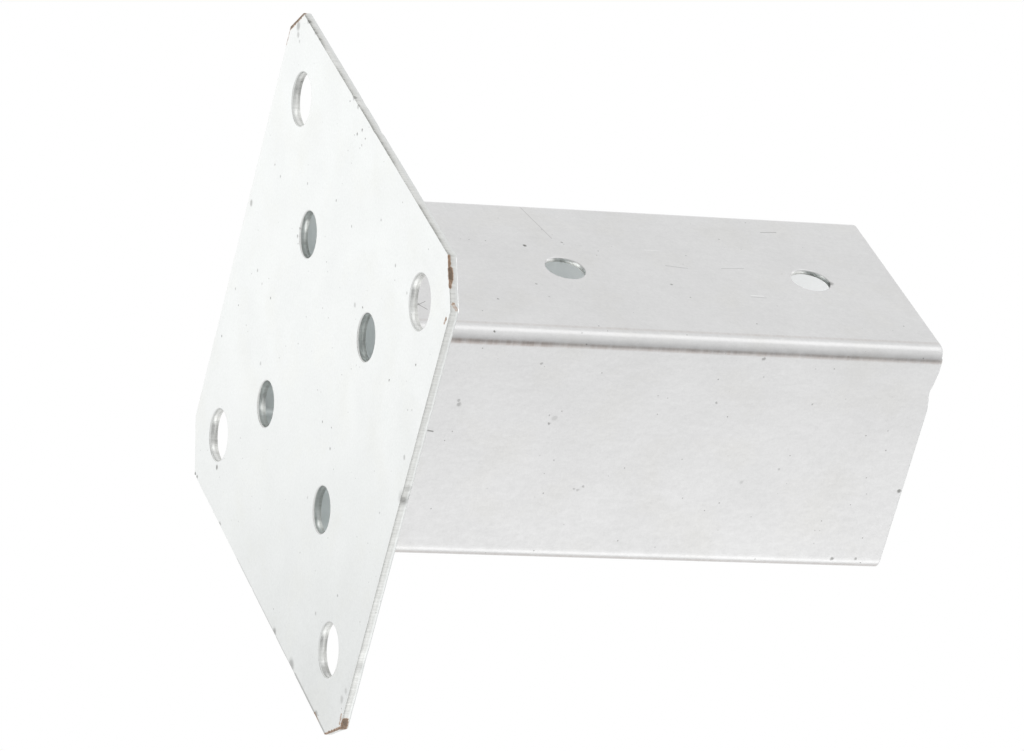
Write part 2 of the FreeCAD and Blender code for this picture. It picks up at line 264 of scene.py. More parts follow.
def pit_at(tree, place, centre, radius, strength):
    """A pit or speck of this radius in millimetres, as ragged as the coordinates it is given."""
    away = add_node(tree, "ShaderNodeVectorMath", {"operation": "DISTANCE"}, i0=place,
                    i1=Vector(centre) * MM).outputs["Value"]
    return add_node(tree, "ShaderNodeMapRange", {"interpolation_type": "SMOOTHSTEP"}, Value=away,
                    From_Min=radius * MM * 1.25, From_Max=radius * MM * 0.4, To_Min=0.0,
                    To_Max=strength).outputs[0]


def scratch_between(tree, place, start, end, width, strength):
    """A straight scratch between two points, this wide to each side, all in millimetres."""
    a, b = Vector(start) * MM, Vector(end) * MM
    along = (b - a) / (b - a).length_squared
    from_a = add_node(tree, "ShaderNodeVectorMath", {"operation": "SUBTRACT"}, i0=place, i1=a).outputs[0]
    part = add_node(tree, "ShaderNodeVectorMath", {"operation": "DOT_PRODUCT"}, i0=from_a,
                    i1=along).outputs["Value"]
    part = add_node(tree, "ShaderNodeClamp", Value=part).outputs[0]
    nearest = add_node(tree, "ShaderNodeVectorMath", {"operation": "SCALE"}, i0=b - a, Scale=part).outputs[0]
    away = add_node(tree, "ShaderNodeVectorMath", {"operation": "DISTANCE"}, i0=from_a,
                    i1=nearest).outputs["Value"]
    return add_node(tree, "ShaderNodeMapRange", {"interpolation_type": "SMOOTHSTEP"}, Value=away,
                    From_Min=width * MM, From_Max=width * MM * 0.3, To_Min=0.0, To_Max=strength).outputs[0]


def random_pits(tree, place, spacing, largest, share, strength):
    """Pinholes in the plating: one at most to a cell of this spacing, up to the largest radius.

    Both are in millimetres. share is how many of the cells have one.
    """
    cells = add_node(tree, "ShaderNodeTexVoronoi", Vector=place, Scale=1 / (spacing * MM))
    chance = add_node(tree, "ShaderNodeSeparateColor", i0=cells.outputs["Color"]).outputs[0]
    size = add_node(tree, "ShaderNodeMapRange", Value=chance, From_Min=1 - share, From_Max=1.0,
                    To_Min=0.0, To_Max=largest / spacing).outputs[0]
    inside = add_node(tree, "ShaderNodeMath", {"operation": "SUBTRACT"}, i0=size,
                      i1=cells.outputs["Distance"]).outputs[0]
    return add_node(tree, "ShaderNodeMapRange", {"interpolation_type": "SMOOTHSTEP"}, Value=inside,
                    From_Min=0.0, From_Max=0.5 * largest / spacing, To_Min=0.0, To_Max=strength).outputs[0]


# The mottle of the rolled grain, each size in millimetres with its weight. The grain itself is
# too fine to show, so it is drawn as coarse as it needs to.
MOTTLE_SIZE = 2.4
GRAIN_LAYERS = ((0.35, 0.3), (0.8, 0.45), (MOTTLE_SIZE, 0.45), (20.0, 0.4))
# How far marks are shaken out of round.
SHAKE = 0.7 * MM


def zinc_plate(name, pale, grey, punched, pits_and_painted_shade=(), scratches=(), painted_glints=(), rust=(), streaks=None, rub_and_painted_shade=()):
    """Bright zinc electroplate over cold rolled sheet.

    A pale, faintly blue metal with a satin skin. The sheet's rolled grain shows through it as a
    fine mottle, with clouds where the passivation dried, pinholes, and handling scratches.
    Cut edges carry thin zinc: brighter where the punch burnished them, grey where the steel tore.
    punched scales the burnished stripes, which run along the way that the punch went.
    """
    material, tree = new_material(name)
    place = add_node(tree, "ShaderNodeTexCoord").outputs["Object"]

    # Grain, mottle and clouds, added up and stretched round their mean.
    shade = 0.0
    for size, weight in GRAIN_LAYERS:
        layer = add_node(tree, "ShaderNodeTexNoise", Vector=place, Scale=1 / (size * MM),
                         Detail=3.0).outputs["Fac"]
        shade = add_node(tree, "ShaderNodeMath", {"operation": "MULTIPLY_ADD"}, i0=layer, i1=weight,
                         i2=shade).outputs[0]
        if size == MOTTLE_SIZE:
            mottle = layer
    middle = sum(weight for size, weight in GRAIN_LAYERS) / 2
    if streaks:
        # Long faint streaks where the sheet was wiped; streaks is the turn of their run.
        wipe_weight = 0.16
        turned = add_node(tree, "ShaderNodeMapping", Vector=place, Rotation=streaks,
                          Scale=(1.0, 1.0, 0.12)).outputs[0]
        wiped = add_node(tree, "ShaderNodeTexNoise", Vector=turned, Scale=1 / (1.6 * MM),
                         Detail=3.0).outputs["Fac"]
        shade = add_node(tree, "ShaderNodeMath", {"operation": "MULTIPLY_ADD"}, i0=wiped, i1=wipe_weight,
                         i2=shade).outputs[0]
        middle += wipe_weight / 2
    shade = add_node(tree, "ShaderNodeMapRange", Value=shade, From_Min=middle - 0.35,
                     From_Max=middle + 0.35).outputs[0]
    skin = add_node(tree, "ShaderNodeMix", {"data_type": "RGBA"}, i0=shade, i6=srgb(grey),
                    i7=srgb(pale)).outputs[2]
    tint = add_node(tree, "ShaderNodeTexNoise", Vector=place, Scale=1 / (17 * MM), Detail=2.0).outputs["Fac"]
    warm = add_node(tree, "ShaderNodeMapRange", Value=tint, From_Min=0.5, From_Max=0.72,
                    To_Max=0.2).outputs[0]
    skin = add_node(tree, "ShaderNodeMix", {"data_type": "RGBA", "blend_type": "MULTIPLY"}, i0=warm,
                    i6=skin, i7=srgb("#f7f5ee")).outputs[2]

    if rub_and_painted_shade:
        # The press brake's die dragged along each fold in short steps and left the zinc thin,
        # so the steel shows brown. The lines are also painted shade, darker than the wear alone,
        # for the dark band that each fold mirrors.
        step_place = add_node(tree, "ShaderNodeMapping", Vector=place, Scale=(0.15, 0.15, 1.0)).outputs[0]
        steps = add_node(tree, "ShaderNodeTexNoise", Vector=step_place, Scale=1 / (1.1 * MM),
                         Detail=3.0).outputs["Fac"]
        steps = add_node(tree, "ShaderNodeMapRange", Value=steps, From_Min=0.3, From_Max=0.7, To_Min=0.6,
                         To_Max=1.4).outputs[0]
    for start, end, width, strength in rub_and_painted_shade:
        line = scratch_between(tree, place, start, end, width, strength)
        line = add_node(tree, "ShaderNodeMath", {"operation": "MULTIPLY", "use_clamp": True}, i0=line,
                        i1=steps).outputs[0]
        skin = add_node(tree, "ShaderNodeMix", {"data_type": "RGBA", "blend_type": "MULTIPLY"}, i0=line,
                        i6=skin, i7=srgb("#a58268")).outputs[2]

    # The cut edge: striped across its thickness by the punch, and dark and crumbly where it tore.
    wall = add_node(tree, "ShaderNodeAttribute", {"attribute_name": "wall"}).outputs["Fac"]
    bare = add_node(tree, "ShaderNodeAttribute", {"attribute_name": "bare"}).outputs["Fac"]
    bare = add_node(tree, "ShaderNodeMath", {"operation": "MULTIPLY"}, i0=bare, i1=wall).outputs[0]
    torn = add_node(tree, "ShaderNodeAttribute", {"attribute_name": "torn"}).outputs["Fac"]
    torn = add_node(tree, "ShaderNodeMath", {"operation": "MULTIPLY"}, i0=torn, i1=wall).outputs[0]
    stripe_place = add_node(tree, "ShaderNodeMapping", Vector=place, Scale=punched).outputs[0]
    stripe = add_node(tree, "ShaderNodeTexNoise", Vector=stripe_place, Scale=1 / (0.6 * MM),
                      Detail=2.0).outputs["Fac"]
    stripe = add_node(tree, "ShaderNodeMapRange", Value=stripe, From_Min=0.1, From_Max=0.8).outputs[0]
    burnished = add_node(tree, "ShaderNodeMix", {"data_type": "RGBA"}, i0=stripe, i6=srgb("#c9cac7"),
                         i7=srgb("#ecedeb")).outputs[2]
    crumbs = add_node(tree, "ShaderNodeTexNoise", Vector=place, Scale=1 / (0.6 * MM),
                      Detail=4.0).outputs["Fac"]
    crumbs = add_node(tree, "ShaderNodeMapRange", Value=crumbs, From_Min=0.38, From_Max=0.62).outputs[0]
    ragged = add_node(tree, "ShaderNodeMix", {"data_type": "RGBA"}, i0=crumbs, i6=srgb("#747570"),
                      i7=srgb("#aeafaa")).outputs[2]
    metal = add_node(tree, "ShaderNodeMix", {"data_type": "RGBA"}, i0=bare, i6=skin, i7=burnished).outputs[2]
    metal = add_node(tree, "ShaderNodeMix", {"data_type": "RGBA"}, i0=torn, i6=metal, i7=ragged).outputs[2]

    # Pits, specks and scratches through the zinc, and patches of painted shade, with their outlines broken
    # up.
    shaken = add_node(tree, "ShaderNodeTexNoise", Vector=place, Scale=1 / SHAKE, Detail=2.0).outputs["Color"]
    shaken = add_node(tree, "ShaderNodeVectorMath", {"operation": "MULTIPLY_ADD"}, i0=shaken,
                      i1=(SHAKE,) * 3, i2=place).outputs[0]
    shaken = add_node(tree, "ShaderNodeVectorMath", {"operation": "SUBTRACT"}, i0=shaken,
                      i1=(SHAKE / 2,) * 3).outputs[0]
    marks = [random_pits(tree, place, 2.6, 0.32, 0.5, 0.55), random_pits(tree, shaken, 7.0, 0.55, 0.5, 0.8)]
    marks += [pit_at(tree, shaken, centre, radius, strength) for centre, radius, strength in pits_and_painted_shade]
    marks += [scratch_between(tree, place, start, end, width, strength)
              for start, end, width, strength in scratches]
    dark = either(tree, marks)
    metal = add_node(tree, "ShaderNodeMix", {"data_type": "RGBA"}, i0=dark, i6=metal,
                     i7=srgb("#54544f")).outputs[2]
    # Bright scratches are painted towards white: each scratch with a painted glint along it.
    if painted_glints:
        bright = either(tree, [scratch_between(tree, place, start, end, width, strength)
                               for start, end, width, strength in painted_glints])
        metal = add_node(tree, "ShaderNodeMix", {"data_type": "RGBA"}, i0=bright, i6=metal,
                         i7=srgb("#ffffff")).outputs[2]

    # Satin, a little rougher where it tore; the mottle stands proud and the marks are sunk.
    roughness = add_node(tree, "ShaderNodeMapRange", Value=mottle, From_Min=0.3, From_Max=0.7, To_Min=0.28,
                         To_Max=0.37).outputs[0]
    roughness = add_node(tree, "ShaderNodeMath", {"operation": "MULTIPLY_ADD"}, i0=torn, i1=0.2,
                         i2=roughness).outputs[0]
    relief = add_node(tree, "ShaderNodeMath", {"operation": "MULTIPLY_ADD"}, i0=dark, i1=-0.6,
                      i2=mottle).outputs[0]
    relief = add_node(tree, "ShaderNodeBump", Strength=0.35, Distance=0.06 * MM, Height=relief).outputs[0]
    zinc = add_node(tree, "ShaderNodeBsdfPrincipled", Base_Color=metal, Metallic=1.0, Roughness=roughness,
                    Normal=relief).outputs[0]
    if rust:
        # Dry brown rust that has crept out of the clipped corners' bare steel, darkest where it is thick.
        eaten = either(tree, [scratch_between(tree, shaken, start, end, width, strength)
                              for start, end, width, strength in rust])
        blotch = add_node(tree, "ShaderNodeTexNoise", Vector=place, Scale=1 / (1.1 * MM),
                          Detail=4.0).outputs["Fac"]
        eaten = add_node(tree, "ShaderNodeMath", {"operation": "SUBTRACT"}, i0=eaten, i1=blotch).outputs[0]
        thick = add_node(tree, "ShaderNodeMapRange", Value=eaten, From_Min=0.15, From_Max=0.55).outputs[0]
        eaten = add_node(tree, "ShaderNodeMapRange", {"interpolation_type": "SMOOTHSTEP"}, Value=eaten,
                         From_Min=-0.15, From_Max=0.3, To_Max=0.95).outputs[0]
        scale = add_node(tree, "ShaderNodeMix", {"data_type": "RGBA"}, i0=thick, i6=srgb("#bf9d83"),
                         i7=srgb("#84705f")).outputs[2]
        oxide = add_node(tree, "ShaderNodeBsdfPrincipled", Base_Color=scale, Roughness=0.85).outputs[0]
        zinc = add_node(tree, "ShaderNodeMixShader", i0=eaten, i1=zinc, i2=oxide).outputs[0]
    add_node(tree, "ShaderNodeOutputMaterial", Surface=zinc)
    return material


# Pits and specks: place and radius in millimetres, and how dark.
PLATE_PITS = (((-9.0, -70.9, 0), 0.5, 0.7), ((-11.6, -68.2, 0), 0.55, 0.7), ((-5.6, -70.1, 0), 0.4, 0.6),
              ((-5.0, -74.0, 0), 0.3, 0.5), ((-6.8, -67.4, 0), 0.4, 0.45), ((-7.6, -66.0, 0), 0.35, 0.45),
              ((-14.9, -61.2, 0), 0.3, 0.5), ((-19.8, -75.0, 0.1), 0.9, 0.5), ((-15.5, -74.5, 0), 0.8, 0.4),
              ((-69.6, -70.2, 0), 1.5, 0.5), ((-68.2, -68.2, 0), 1.0, 0.4), ((-66.2, -67.1, 0), 0.6, 0.35),
              ((-63.4, -75.0, 0.3), 0.9, 0.5), ((-56.6, -75.0, 0.2), 0.7, 0.4),
              ((-53.0, -75.0, 0.3), 0.6, 0.4), ((-36.5, -38.6, 0), 0.45, 0.5),
              ((34.3, -53.9, 0), 0.6, 0.45), ((-38.0, 20.6, 0), 0.6, 0.4), ((-68.6, 14.3, 0), 0.5, 0.5),
              ((-56.1, 0.9, 0), 0.5, 0.5), ((-50.7, 2.1, 0), 0.4, 0.5), ((-72.3, -11.8, 0), 1.1, 0.5),
              ((17.9, -58.4, 0), 0.5, 0.4), ((15.1, -30.2, 0), 0.8, 0.35), ((-62.2, -30.0, 0), 0.4, 0.5),
              ((-56.3, -29.5, 0), 0.5, 0.5), ((-50.5, 63.1, 0), 0.85, 0.8), ((22.9, 10.6, 0), 0.55, 0.6),
              ((51.9, 39.5, 0), 0.5, 0.45), ((40.9, 52.5, 0), 0.6, 0.4), ((64.4, 4.8, 0), 0.4, 0.4),
              ((70.5, -16.5, 0), 0.8, 0.4), ((-64.9, 74.4, 0), 0.7, 0.8), ((-63.0, 74.3, 0), 0.6, 0.8),
              ((75, -6.2, 0.7), 1.2, 0.45), ((75, -6.8, 0.8), 2.2, 0.3), ((75, -9.6, 1.3), 1.3, 0.25),
              ((71.5, 60.0, 0), 1.2, 0.3), ((72.6, 56.5, 0), 1.0, 0.25), ((17.3, 74.6, 0.4), 1.6, 0.6),
              ((34.0, 74.6, 0.4), 2.4, 0.5), ((-38.4, 74.8, 0.4), 1.0, 0.7), ((58.0, 74.6, 0.4), 1.6, 0.6),
              ((-34.3, -23.0, 0), 0.6, 0.55), ((-34.2, -25.6, 0), 0.45, 0.6), ((-32.6, -21.6, 0), 0.4, 0.5),
              ((45.8, -52.3, 0), 0.5, 0.45), ((16.4, 30.6, 0), 0.5, 0.3))
# Scratches and runs of rust: from, to and half the width in millimetres, and how strong.
PLATE_SCRATCHES = (((38.0, 74.7, 0.0), (66.0, 74.7, 0.0), 0.8, 0.45),
                   ((-20.0, 74.8, 0.0), (38.0, 74.8, 0.0), 0.5, 0.25))
PLATE_RUST = (((-75.0, -67.0, 0.0), (-68.4, -75.0, 0.0), 1.5, 1.0),
              ((-75.0, -67.0, 0.0), (-75.0, -61.5, 0.0), 0.8, 0.75),
              ((64.9, -74.7, 0.2), (67.4, -72.0, 0.2), 0.8, 0.8),
              ((67.2, -72.2, 0.4), (68.9, -70.4, 0.5), 1.2, 1.0),
              ((68.9, -70.4, 0.3), (70.4, -68.8, 0.2), 0.9, 0.8),
              ((73.7, -65.4, 0.8), (74.7, -64.4, 1.8), 0.9, 0.6),
              ((73.5, -61.0, 0.0), (73.1, -59.4, 0.0), 0.9, 0.75),
              ((75.0, 64.6, 1.0), (74.6, 67.4, 1.2), 1.7, 0.95),
              ((75.0, 67.2, 0.0), (66.6, 75.0, 0.0), 1.0, 0.85),
              ((73.8, 63.6, 0.0), (74.0, 66.0, 0.0), 1.0, 0.65),
              ((60.0, 75.0, 0.0), (57.0, 75.0, 0.0), 1.2, 0.85))

plate = base_plate()
plate.data.materials.append(zinc_plate(
    "bright_zinc_plate_on_sheared_sheet", "#e2e4e3", "#ced0cf", punched=(1.0, 1.0, 0.1),
    pits_and_painted_shade=PLATE_PITS, scratches=PLATE_SCRATCHES, rust=PLATE_RUST))
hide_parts("base_plate")
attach(plate, "root")

# ---------------------------------------------------------------- sleeve
# One strip of 1.5 mm sheet with four screw holes punched in it, folded on a press brake
# round four corners until its ends meet in a seam down the middle of the left wall.
# Its top end was sheared before folding and isn't quite straight.

SLEEVE_LOW, SLEEVE_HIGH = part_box("sleeve")
SLEEVE_HALF = 36.5 * MM
SLEEVE_FOOT = SLEEVE_LOW[2]
SLEEVE_TOP = SLEEVE_HIGH[2]
SHEET = 1.5 * MM
BEND = 3.8 * MM
SEAM_GAP = 0.4 * MM
SCREW_RADIUS = 5.75 * MM
SCREW_HEIGHTS = (65.5 * MM, 140.5 * MM)
FLAT = 2 * (SLEEVE_HALF - BEND)
ARC = BEND * math.pi / 2
PITCH = FLAT + ARC
STRIP_STEP = 1.1 * MM
BEND_FACETS = 16
BESIDE_BEND = 0.7 * MM

# The same five values in each row as for the plate, from the sheet's outside inwards.
SLEEVE_ROWS = ((0.0, 0.29, 0.02, 0.0, 0.0), (0.05, 0.14, 0.02, 0.0, 0.0), (0.15, 0.04, 0.02, 0.0, 0.0),
               (0.3, 0.0, 0.02, 0.7, 0.0), (0.95, 0.0, 0.03, 1.0, 0.1), (1.03, 0.05, 0.06, 1.0, 0.5),
               (1.3, 0.12, 0.08, 1.0, 0.5), (1.5, 0.16, 0.05, 1.0, 0.4))

# How far the top end falls short of true in the shallow notch that the shears left in the
# right wall, by the distance from that wall's middle. Both are in millimetres.
END_DIPS = ((-30.0, 0.0), (-25.5, 0.5), (-23.6, 1.0), (-22.0, 0.95), (-20.3, 0.5), (-17.3, 0.0))


def end_dip(run):
    """The dip at a place this far round from the seam, both in metres, eased between the values above."""
    across = (run - 2 * PITCH) / MM
    if across <= END_DIPS[0][0] or across >= END_DIPS[-1][0]:
        return 0.0
    for (a, low), (b, high) in zip(END_DIPS, END_DIPS[1:]):
        if across <= b:
            part = (across - a) / (b - a)
            return (low + (high - low) * part * part * (3 - 2 * part)) * MM


def fold(run, height, depth):
    """Where a point of the flat strip comes to lie.

    It is given by its distance round, its height and its depth in the sheet.
    """
    wall = round(run / PITCH)
    across = run - wall * PITCH
    along, out = across, SLEEVE_HALF - depth
    if abs(across) > FLAT / 2:
        angle = (abs(across) - FLAT / 2) / BEND
        along = math.copysign(FLAT / 2 + (BEND - depth) * math.sin(angle), across)
        out = SLEEVE_HALF - BEND + (BEND - depth) * math.cos(angle)
    facing = math.pi + wall * math.pi / 2
    x = out * math.cos(facing) - along * math.sin(facing)
    y = out * math.sin(facing) + along * math.cos(facing)
    return Vector((x, y, height))


def fold_lines():
    """Where the strip is divided across: finely over each bend, and once on either side of it."""
    lines = []
    for corner in range(4):
        first = corner * PITCH + FLAT / 2
        lines.append(first - BESIDE_BEND)
        lines += [first + ARC * i / BEND_FACETS for i in range(BEND_FACETS + 1)]
        lines.append(first + ARC + BESIDE_BEND)
    return lines


def folded_sleeve():
    """The punched strip, sheared, notched and folded round until its ends meet."""
    bm = bmesh.new()
    start, end = SEAM_GAP / 2, 4 * PITCH - SEAM_GAP / 2
    strip = ((start, SLEEVE_FOOT), (end, SLEEVE_FOOT), (end, SLEEVE_TOP), (start, SLEEVE_TOP))
    ring_of(bm, strip, STRIP_STEP)
    for wall in (1, 3):
        for height in SCREW_HEIGHTS:
            punch(bm, wall * PITCH, height, SCREW_RADIUS, 60)
    sheared_blank(bm, SHEET, lambda x, y: (SLEEVE_ROWS, 1.0), 7.0)
    for v in bm.verts:
        if v.co.y > SLEEVE_TOP - 1.0 * MM:
            v.co.y -= end_dip(v.co.x)
    for line in fold_lines():
        bmesh.ops.bisect_plane(bm, geom=bm.verts[:] + bm.edges[:] + bm.faces[:], dist=1e-7,
                               plane_co=(line, 0, 0), plane_no=(1, 0, 0))
    for v in bm.verts:
        v.co = fold(v.co.x, v.co.y, v.co.z)

    def flat_face(face):
        """The flat walls, clear of the folds and the rims."""
        x, y = (abs(c) for c in face.calc_center_median().xy)
        upright = abs(face.normal.z) < 0.001 and max(abs(face.normal.x), abs(face.normal.y)) > 0.9999
        clear_of_bends = min(x, y) < SLEEVE_HALF - BEND - 0.6 * MM
        return upright and clear_of_bends and max(x, y) > SLEEVE_HALF - SHEET - 0.1 * MM

    return finish_mesh(bm, "zinc_sleeve", flat_face)


# Pits and specks, and a patch of painted shade: place and radius in millimetres, and how dark.
SLEEVE_PITS_AND_PAINTED_SHADE = (((-11.5, -36.5, 57.2), 0.6, 0.9), ((-14.3, -36.5, 69.4), 0.4, 0.6),
               ((9.7, -36.5, 53.5), 0.45, 0.45), ((19.0, -36.5, 39.0), 0.4, 0.7),
               ((16.4, -36.5, 55.0), 0.35, 0.3), ((6.3, -36.5, 95.4), 0.5, 0.6),
               ((36.5, -31.6, 113.5), 0.6, 0.5), ((36.5, -27.0, 48.3), 0.5, 0.4),
               ((36.5, -13.2, 27.6), 0.7, 0.4), ((36.5, -14.4, 27.2), 0.5, 0.4),
               ((36.5, -10.0, 56.5), 0.9, 0.2), ((36.5, -8.2, 55.3), 0.45, 0.55),
               ((36.5, 11.6, 70.6), 0.5, 0.4), ((36.5, 12.8, 69.2), 0.5, 0.3),
               ((36.5, 12.4, 68.0), 0.4, 0.3), ((36.5, -17.0, 103.1), 0.35, 0.45),
               ((36.5, -17.7, 132.2), 0.4, 0.4), ((36.5, 3.7, 128.0), 0.45, 0.3),
               ((36.5, 8.3, 117.7), 0.6, 0.2), ((36.5, 9.4, 167.0), 0.7, 0.7),
               ((36.5, 32.6, 152.7), 0.7, 0.6), ((36.5, 32.4, 160.0), 0.6, 0.5),
               # The last is painted shade on the wall of the upper screw hole in the front wall.
               ((24.0, -36.5, 14.0), 0.6, 0.6), ((1.2, -35.6, 146.0), 1.5, 0.7))
# Dark scratches: from, to and half the width in millimetres, and how strong.
SLEEVE_SCRATCHES = (((-33.3, -36.5, 63.2), (-16.3, -36.5, 67.0), 0.18, 0.32),
                    ((-4.2, -36.5, 97.4), (-3.2, -36.5, 103.7), 0.2, 0.35),
                    ((-4.2, -36.5, 114.5), (-4.8, -36.5, 121.6), 0.18, 0.35),
                    ((-26.2, -36.5, 135.0), (-26.7, -36.5, 140.0), 0.22, 0.5),
                    ((11.1, -36.5, 118.0), (11.3, -36.5, 122.5), 0.2, 0.3),
                    ((22.0, -36.5, 12.5), (26.5, -36.5, 15.8), 0.22, 0.6),
                    ((25.8, -36.5, 11.8), (22.3, -36.5, 16.6), 0.2, 0.5),
                    ((36.5, -4.6, 20.4), (36.5, -4.3, 22.1), 0.35, 0.6))
# Bright scratches painted towards white, a painted glint along each, in the same four values.
SLEEVE_PAINTED_GLINTS = (((10.2, -36.5, 118.2), (10.4, -36.5, 122.0), 0.25, 0.5),
                 ((-12.5, -36.5, 94.0), (-12.4, -36.5, 98.0), 0.2, 0.35))
# Where the die dragged along each fold, with painted shade for the dark band that the folds mirror, in the
# same four values.
SLEEVE_RUB_AND_PAINTED_SHADE = (((36.48, -33.0, 2.0), (36.48, -33.0, 169.0), 1.0, 0.25),
                 ((36.48, -33.0, 2.0), (36.48, -33.0, 50.0), 1.3, 0.16),
                 ((32.2, -36.5, 2.0), (32.2, -36.5, 169.0), 0.9, 0.12),
                 # This one darkens the bright line along the fold between the right and back walls with
                 # painted shade.
                 ((35.9, 35.4, 2.0), (35.9, 35.4, 169.0), 1.6, 0.2))


def dull_zinc():
    """Zinc plate inside the tube, matt and faintly green.

    It is painted paler and made more metallic towards the open end, as painted light where light comes in.
    """
    material, tree = new_material("dull_zinc_plate_inside")
    place = add_node(tree, "ShaderNodeTexCoord").outputs["Object"]
    cloud = add_node(tree, "ShaderNodeTexNoise", Vector=place, Scale=1 / (9 * MM), Detail=4.0).outputs["Fac"]
    shade = add_node(tree, "ShaderNodeMapRange", Value=cloud, From_Min=0.35, From_Max=0.65).outputs[0]
    skin = add_node(tree, "ShaderNodeMix", {"data_type": "RGBA"}, i0=shade, i6=srgb("#d0d7d7"),
                    i7=srgb("#dde3e2")).outputs[2]
    height = add_node(tree, "ShaderNodeSeparateXYZ", i0=place).outputs[2]
    # Painted light: paler and more metallic towards the open end, where light comes in down the tube.
    painted_open_end_light = add_node(tree, "ShaderNodeMapRange", Value=height, From_Min=60 * MM, From_Max=150 * MM,
                      To_Min=0.45, To_Max=0.95).outputs[0]
    skin = add_node(tree, "ShaderNodeMix", {"data_type": "RGBA"}, i0=painted_open_end_light, i6=skin,
                    i7=srgb("#f0f1f1")).outputs[2]
    zinc = add_node(tree, "ShaderNodeBsdfPrincipled", Base_Color=skin, Metallic=painted_open_end_light,
                    Roughness=0.4).outputs[0]
    add_node(tree, "ShaderNodeOutputMaterial", Surface=zinc)
    return material


sleeve = folded_sleeve()
for face in sleeve.data.polygons:
    inside = max(abs(face.center.x), abs(face.center.y)) < SLEEVE_HALF - SHEET * 0.98
    face.material_index = int(inside)
sleeve.data.materials.append(zinc_plate(
    "bright_zinc_plate_on_folded_sheet", "#e1e1e1", "#cfcfcf", punched=(1.0, 0.1, 1.0),
    pits_and_painted_shade=SLEEVE_PITS_AND_PAINTED_SHADE, scratches=SLEEVE_SCRATCHES, painted_glints=SLEEVE_PAINTED_GLINTS, streaks=(0.6, 0.0, 0.0),
    rub_and_painted_shade=SLEEVE_RUB_AND_PAINTED_SHADE))
sleeve.data.materials.append(dull_zinc())
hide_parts("sleeve")
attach(sleeve, "root")

# ---------------------------------------------------------------- weld beads
# Four fillet welds hold the sleeve to the plate, one in the middle of each wall. Each was
# run by hand as a row of overlapping puddles, so it is rippled like a stack of coins.

BEAD_LENGTH = 36.0 * MM
BEAD_LEG = 3.2 * MM
PUDDLE = 2.6 * MM
# The bead sits this deep in the sheets, so that no gap shows along its edges.
BEAD_SINK = 0.1 * MM
BEAD_CUTS = 131
BEAD_STEPS = 14


def ripples(along, lag, seed):
    """How far a puddled weld stands above its plain form at a place along it, from 0 to 1."""
    phase = (along + lag) / PUDDLE + 0.35 * noise.noise(Vector((along / (7 * MM), seed, 0.0)))
    part = phase - math.floor(phase)
    return math.sin(math.pi * part ** 1.6)


def weld_bead(side, quarter_turns, seed):
    """A quarter round along the wall's foot, swollen by its puddles and rounded off at both ends."""
    bm = bmesh.new()
    half = BEAD_LENGTH / 2
    corners = ((-half, 0, 0), (half, 0, 0), (half, -BEAD_LEG, 0), (-half, -BEAD_LEG, 0))
    bm.faces.new([bm.verts.new(corner) for corner in corners])
    long_edges = [e for e in bm.edges if e.calc_length() > half]
    bmesh.ops.subdivide_edges(bm, edges=long_edges, cuts=BEAD_CUTS, use_grid_fill=True)
    bmesh.ops.spin(bm, geom=bm.verts[:] + bm.edges[:] + bm.faces[:], cent=(0, 0, 0), axis=(1, 0, 0),
                   angle=-math.radians(98), steps=BEAD_STEPS, use_merge=False, use_duplicate=False)
    bmesh.ops.remove_doubles(bm, verts=bm.verts[:], dist=1e-6)
    for v in bm.verts:
        reach = math.hypot(v.co.y, v.co.z)
        if reach < 1e-6:
            continue
        angle = math.atan2(v.co.z, -v.co.y)
        x = v.co.x
        ends = max(0.0, 1 - abs(x / half) ** 7) ** 0.5
        wander = 0.07 * noise.noise(Vector((x / (6 * MM), angle * 0.7, seed)))
        lag = 1.3 * MM * math.cos(2 * (angle - math.pi / 4))
        rise = 0.085 * ripples(x, lag, seed)
        grit = 0.02 * noise.noise(Vector((x / (0.5 * MM), angle * 5, seed)))
        scale = ends * (0.93 + wander + rise * ends + grit)
        v.co.y *= scale
        v.co.z *= scale
    bmesh.ops.rotate(bm, cent=(0, 0, 0), matrix=Matrix.Rotation(math.radians(4), 3, "X"), verts=bm.verts[:])
    bmesh.ops.translate(bm, vec=(0, -SLEEVE_HALF + BEAD_SINK, PLATE_THICKNESS - BEAD_SINK), verts=bm.verts[:])
    bmesh.ops.rotate(bm, cent=(0, 0, 0), matrix=Matrix.Rotation(quarter_turns * math.pi / 2, 3, "Z"),
                     verts=bm.verts[:])
    return finish_mesh(bm, "zinc_bead_" + side, lambda face: False)


def zinc_over_weld():
    """Zinc plate over weld metal: the same zinc, duller and greyer.

    Weld metal is rougher than sheet, so the plating on it scatters more and shows its pores.
    """
    material, tree = new_material("zinc_plate_over_weld")
    place = add_node(tree, "ShaderNodeTexCoord").outputs["Object"]
    skin = add_node(tree, "ShaderNodeTexNoise", Vector=place, Scale=1 / (1.8 * MM), Detail=4.0).outputs["Fac"]
    shade = add_node(tree, "ShaderNodeMapRange", Value=skin, From_Min=0.35, From_Max=0.65).outputs[0]
    metal = add_node(tree, "ShaderNodeMix", {"data_type": "RGBA"}, i0=shade, i6=srgb("#a9aaa7"),
                     i7=srgb("#d2d4d3")).outputs[2]
    pores = random_pits(tree, place, 1.6, 0.25, 0.4, 0.8)
    metal = add_node(tree, "ShaderNodeMix", {"data_type": "RGBA"}, i0=pores, i6=metal,
                     i7=srgb("#4d4a45")).outputs[2]
    bump = add_node(tree, "ShaderNodeBump", Strength=0.5, Distance=0.08 * MM, Height=skin).outputs[0]
    zinc = add_node(tree, "ShaderNodeBsdfPrincipled", Base_Color=metal, Metallic=1.0, Roughness=0.48,
                    Normal=bump).outputs[0]
    add_node(tree, "ShaderNodeOutputMaterial", Surface=zinc)
    return material


